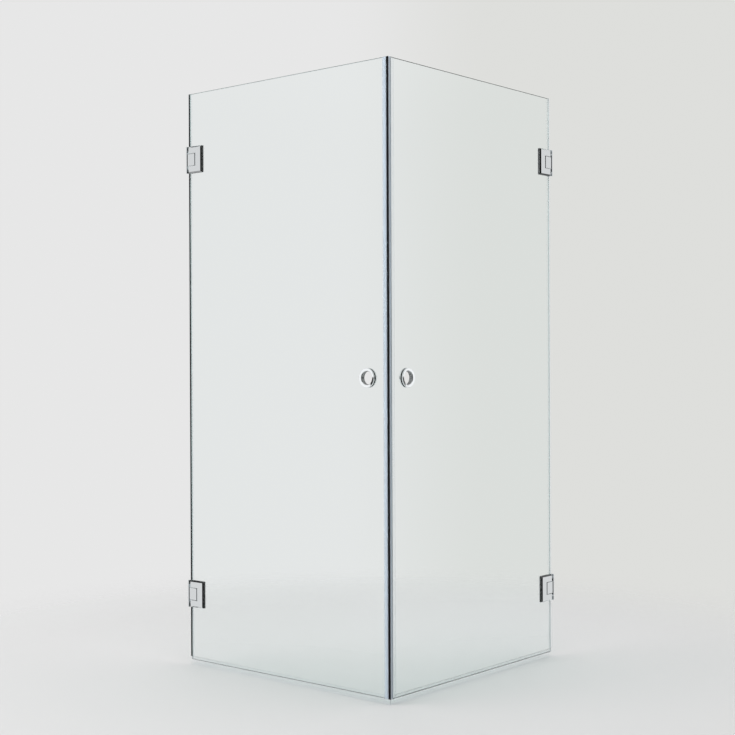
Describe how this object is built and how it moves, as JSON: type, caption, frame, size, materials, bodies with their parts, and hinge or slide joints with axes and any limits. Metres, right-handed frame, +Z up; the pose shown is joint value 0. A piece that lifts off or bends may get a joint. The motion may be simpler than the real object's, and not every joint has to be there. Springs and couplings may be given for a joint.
{
  "type": "corner shower enclosure",
  "caption": "Frameless corner shower enclosure: clear glass doors on chrome wall hinges, with ring pulls, magnetic corner seals and clear bottom sweeps.",
  "frame": {"origin": "centre of the bounding box in plan, on the floor", "axes": "+Z up from the floor; -X towards the wall of the left door, +Y towards the wall of the right door; the outer corner of the enclosure is at +X, -Y"},
  "size_m": [0.908, 0.908, 1.967],
  "materials": {
    "clear_glass": "clear toughened float glass with a slight green tint and polished edges",
    "polished_chrome": "polished chrome",
    "stainless_steel": "machined stainless steel",
    "clear_vinyl": "clear soft PVC with a bluish cast",
    "black_magnet": "matt black magnetic rubber",
    "black_rubber": "matt black fibre-filled rubber",
    "white_nylon": "natural white nylon"
  },
  "bodies": {
    "wall_fixings": {"left_upper_wall_plate": "polished_chrome", "left_upper_pivot_washers": "white_nylon", "left_upper_plunger": "stainless_steel", "left_upper_spring": "stainless_steel", "left_upper_adjuster": "stainless_steel", "left_lower_wall_plate": "polished_chrome", "left_lower_pivot_washers": "white_nylon", "left_lower_plunger": "stainless_steel", "left_lower_spring": "stainless_steel", "left_lower_adjuster": "stainless_steel", "right_upper_wall_plate": "polished_chrome", "right_upper_pivot_washers": "white_nylon", "right_upper_plunger": "stainless_steel", "right_upper_spring": "stainless_steel", "right_upper_adjuster": "stainless_steel", "right_lower_wall_plate": "polished_chrome", "right_lower_pivot_washers": "white_nylon", "right_lower_plunger": "stainless_steel", "right_lower_spring": "stainless_steel", "right_lower_adjuster": "stainless_steel"},
    "left_door": {"left_glass": "clear_glass", "left_knob_outer": "polished_chrome", "left_knob_inner": "polished_chrome", "left_knob_bush": "white_nylon", "left_knob_washers": "clear_vinyl", "left_corner_seal": "clear_vinyl", "left_magnet": "black_magnet", "left_bottom_sweep": "clear_vinyl", "left_wall_seal": "clear_vinyl", "left_upper_hinge_pin": "stainless_steel", "left_upper_outer_clamp": "polished_chrome", "left_upper_inner_clamp": "polished_chrome", "left_upper_gaskets": "black_rubber", "left_upper_clamp_screws": "stainless_steel", "left_lower_hinge_pin": "stainless_steel", "left_lower_outer_clamp": "polished_chrome", "left_lower_inner_clamp": "polished_chrome", "left_lower_gaskets": "black_rubber", "left_lower_clamp_screws": "stainless_steel"},
    "right_door": {"right_glass": "clear_glass", "right_knob_outer": "polished_chrome", "right_knob_inner": "polished_chrome", "right_knob_bush": "white_nylon", "right_knob_washers": "clear_vinyl", "right_corner_seal": "clear_vinyl", "right_magnet": "black_magnet", "right_bottom_sweep": "clear_vinyl", "right_wall_seal": "clear_vinyl", "right_upper_hinge_pin": "stainless_steel", "right_upper_outer_clamp": "polished_chrome", "right_upper_inner_clamp": "polished_chrome", "right_upper_gaskets": "black_rubber", "right_upper_clamp_screws": "stainless_steel", "right_lower_hinge_pin": "stainless_steel", "right_lower_outer_clamp": "polished_chrome", "right_lower_inner_clamp": "polished_chrome", "right_lower_gaskets": "black_rubber", "right_lower_clamp_screws": "stainless_steel"}
  },
  "joints": [
    {"name": "left_door_swing", "type": "hinge", "parent": "wall_fixings", "child": "left_door", "pos_m": [-0.426, -0.442, 0], "axis": [0, 0, -1], "range_deg": [0, 90]},
    {"name": "right_door_swing", "type": "hinge", "parent": "wall_fixings", "child": "right_door", "pos_m": [0.442, 0.426, 0], "axis": [0, 0, 1], "range_deg": [0, 90]}
  ]
}
